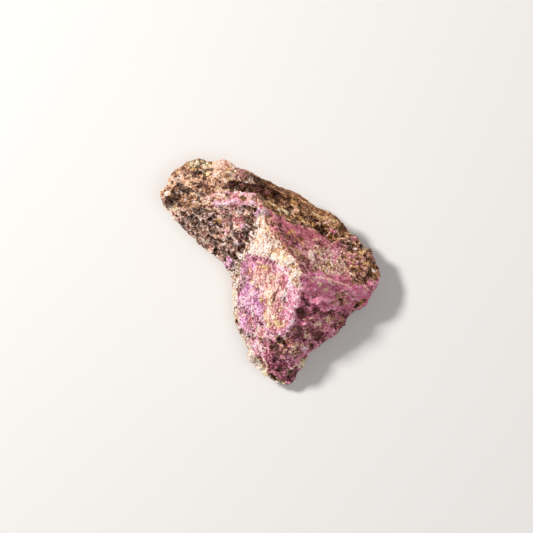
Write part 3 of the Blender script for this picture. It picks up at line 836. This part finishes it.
def add_node(tree, kind, inputs, **settings):
    """A new node with these settings. Each input gets its own value, or a link from another node's output."""
    node = tree.nodes.new(kind)
    for name, value in settings.items():
        setattr(node, name, value)
    for name, value in inputs.items():
        if isinstance(value, bpy.types.NodeSocket):
            tree.links.new(value, node.inputs[name])
        else:
            node.inputs[name].default_value = value
    return node


def calculate(tree, operation, *values):
    """The result of a maths node, with a number or another node's output for each of its inputs."""
    return add_node(tree, "ShaderNodeMath", dict(enumerate(values)), operation=operation).outputs["Value"]


# The finest detail, shared by all the kinds of rock. Crisp flecks and fine noise vary the tone, and a broken
# net gives the pale threads.
FLECK_PUSH = 0.6 * MM
FLECK_CONTRAST = 0.72
NOISE_CONTRAST = 1.7
THREAD_WIDTH = 0.085
WOBBLE_PER_METRE = 1500.0
NOISE_PER_METRE = 2800.0
NET_PER_METRE = 620.0
detail = bpy.data.node_groups.new("rock_detail", "ShaderNodeTree")
for name in ("Tone", "Fleck size", "Spread"):
    detail.interface.new_socket(name, in_out="INPUT", socket_type="NodeSocketFloat")
for name in ("Tone", "Fleck", "Thread"):
    detail.interface.new_socket(name, in_out="OUTPUT", socket_type="NodeSocketFloat")
given = detail.nodes.new("NodeGroupInput").outputs
result = detail.nodes.new("NodeGroupOutput").inputs
where = detail.nodes.new("ShaderNodeTexCoord").outputs["Object"]
wobble = add_node(detail, "ShaderNodeTexNoise", {"Vector": where, "Scale": WOBBLE_PER_METRE, "Detail": 2.0})
push = add_node(
    detail, "ShaderNodeVectorMath", {0: wobble.outputs["Color"], 1: (FLECK_PUSH,) * 3, 2: where},
    operation="MULTIPLY_ADD",
)
fleck_scale = calculate(detail, "DIVIDE", 1.0 / MM, given["Fleck size"])
fleck = add_node(detail, "ShaderNodeTexVoronoi", {"Vector": push.outputs["Vector"], "Scale": fleck_scale})
split = add_node(detail, "ShaderNodeSeparateColor", {"Color": fleck.outputs["Color"]})
grain_noise = add_node(
    detail, "ShaderNodeTexNoise",
    {"Vector": where, "Scale": NOISE_PER_METRE, "Detail": 4.0, "Roughness": 0.65},
)
net = add_node(
    detail, "ShaderNodeTexVoronoi", {"Vector": push.outputs["Vector"], "Scale": NET_PER_METRE},
    feature="DISTANCE_TO_EDGE",
)
line = calculate(detail, "SUBTRACT", 1.0, calculate(detail, "DIVIDE", net.outputs["Distance"], THREAD_WIDTH))
line = calculate(detail, "MAXIMUM", line, 0.0)
broken = calculate(detail, "SUBTRACT", wobble.outputs["Fac"], 0.42)
broken = calculate(detail, "MAXIMUM", calculate(detail, "MULTIPLY", broken, 5.0), 0.0)
line = calculate(detail, "MULTIPLY", line, calculate(detail, "MINIMUM", broken, 1.0))
detail.links.new(line, result["Thread"])
varied = calculate(detail, "SUBTRACT", split.outputs["Red"], 0.5)
varied = calculate(detail, "MULTIPLY", varied, FLECK_CONTRAST)
rubbed = calculate(detail, "SUBTRACT", grain_noise.outputs["Fac"], 0.5)
varied = calculate(detail, "ADD", varied, calculate(detail, "MULTIPLY", rubbed, NOISE_CONTRAST))
varied = calculate(detail, "MULTIPLY", varied, given["Spread"])
own_tone = calculate(detail, "MULTIPLY", calculate(detail, "SUBTRACT", given["Tone"], 0.5), 0.95)
varied = calculate(detail, "ADD", varied, own_tone)
detail.links.new(calculate(detail, "ADD", varied, 0.5), result["Tone"])
detail.links.new(split.outputs["Green"], result["Fleck"])

# The material mixes the kinds by their masks, lays pale threads and web over them, and gives single flecks a
# glint. The tone that picks a kind's colour also gives the fine bump.
FLECK_SIZE = 0.46
RAMP_PLACES = (0.04, 0.2, 0.4, 0.6, 0.8, 0.96)
THREAD_COLOUR = (0.95, 0.78, 0.68, 1.0)
material = bpy.data.materials.new("purpurite_surface")
material.use_nodes = True
surface = material.node_tree
shader = surface.nodes["Principled BSDF"]


def stored(name):
    """Reads one of the masks that were stored on the mesh."""
    return add_node(surface, "ShaderNodeAttribute", {}, attribute_name=name).outputs["Fac"]


fine_detail = surface.nodes.new("ShaderNodeGroup")
fine_detail.node_tree = detail
fine_detail.inputs["Fleck size"].default_value = FLECK_SIZE
surface.links.new(stored("tone"), fine_detail.inputs["Tone"])
surface.links.new(stored("spread"), fine_detail.inputs["Spread"])
varied_tone = fine_detail.outputs["Tone"]
fleck_number = fine_detail.outputs["Fleck"]
colour = None
for name, stops in palettes.items():
    ramp = add_node(surface, "ShaderNodeValToRGB", {"Fac": varied_tone})
    first, last = ramp.color_ramp.elements
    first.position = RAMP_PLACES[0]
    first.color = (*stops[0], 1.0)
    last.position = RAMP_PLACES[-1]
    last.color = (*stops[-1], 1.0)
    for position, stop in zip(RAMP_PLACES[1:-1], stops[1:-1]):
        ramp.color_ramp.elements.new(position).color = (*stop, 1.0)
    if colour is None:
        colour = ramp.outputs["Color"]
        continue
    laid_over = {"Factor": stored(name), "A": colour, "B": ramp.outputs["Color"]}
    colour = add_node(surface, "ShaderNodeMix", laid_over, data_type="RGBA").outputs["Result"]
threaded = calculate(surface, "MULTIPLY", stored("thread"), fine_detail.outputs["Thread"])
palest = calculate(surface, "MAXIMUM", threaded, stored("web"))
pale = add_node(
    surface, "ShaderNodeMix", {"Factor": palest, "A": colour, "B": THREAD_COLOUR}, data_type="RGBA",
)
surface.links.new(pale.outputs["Result"], shader.inputs["Base Color"])
glint = add_node(
    surface, "ShaderNodeMapRange", {"Value": fleck_number, "From Min": 0.7, "To Min": 0.04, "To Max": 0.75},
)
surface.links.new(glint.outputs["Result"], shader.inputs["Specular IOR Level"])
polish = add_node(
    surface, "ShaderNodeMapRange", {"Value": fleck_number, "From Min": 0.6, "To Min": 0.75, "To Max": 0.25},
)
surface.links.new(polish.outputs["Result"], shader.inputs["Roughness"])
bump = add_node(
    surface, "ShaderNodeBump", {"Height": varied_tone, "Strength": 0.65, "Distance": 0.12 * MM},
)
surface.links.new(bump.outputs["Normal"], shader.inputs["Normal"])
fine.materials.clear()
fine.materials.append(material)

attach(stone, "root")
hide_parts("purpurite_stone")

# The floor: a plain pale matt surface under the stone, wide enough to fill the picture from every side. It is
# one flat plane, and it is only staging.

bpy.ops.mesh.primitive_plane_add(size=3.0, location=(0.0, 0.0, 0.0))
floor = bpy.context.object
floor.name = "floor"
floor_paint = bpy.data.materials.new("floor_paint")
floor_paint.use_nodes = True
paint = floor_paint.node_tree.nodes["Principled BSDF"]
paint.inputs["Base Color"].default_value = (0.86, 0.85, 0.84, 1.0)
paint.inputs["Roughness"].default_value = 0.9
floor.data.materials.append(floor_paint)

# The light: one soft warm key from the upper left, a wide weak fill from nearly above, and a pale surround.
# Both lamps are round and point at the middle of the stone.


def area_light(name, location, size, energy, tint):
    """A round lamp of this size in metres and energy in watts, turned to the middle of the scene."""
    lamp = bpy.data.lights.new(name, "AREA")
    lamp.shape = "DISK"
    lamp.size = size
    lamp.energy = energy
    lamp.color = tint
    holder = bpy.data.objects.new(name, lamp)
    bpy.context.scene.collection.objects.link(holder)
    holder.location = location
    holder.rotation_euler = (-Vector(location)).to_track_quat("-Z", "Y").to_euler()


area_light("key", (-0.52, 0.34, 0.62), 0.16, 7.0, (1.0, 0.97, 0.93))
area_light("fill", (0.25, -0.10, 1.1), 0.9, 3.0, (0.97, 0.98, 1.0))
world = bpy.data.worlds.new("surround")
world.use_nodes = True
world.node_tree.nodes["Background"].inputs["Color"].default_value = (1.0, 0.98, 0.97, 1.0)
world.node_tree.nodes["Background"].inputs["Strength"].default_value = 0.22
bpy.context.scene.world = world
bpy.context.scene.view_settings.view_transform = "Standard"

# The camera looks straight down, as in the reference, from over the middle of the picture. Its lens makes the
# picture as wide in mm as the reference is, at a height a little under half way up the stone.

SENSOR_WIDTH = 36.0
PICTURE_WIDTH = 149.2
SCALE_HEIGHT = 10.0
CAMERA_HEIGHT = 600.0

lens = bpy.data.cameras.new("camera")
camera = bpy.data.objects.new("camera", lens)
bpy.context.scene.collection.objects.link(camera)
lens.sensor_width = SENSOR_WIDTH
lens.lens = SENSOR_WIDTH * (CAMERA_HEIGHT - SCALE_HEIGHT) / PICTURE_WIDTH
camera.location = (-0.98 * MM, 1.82 * MM, CAMERA_HEIGHT * MM)
bpy.context.scene.camera = camera
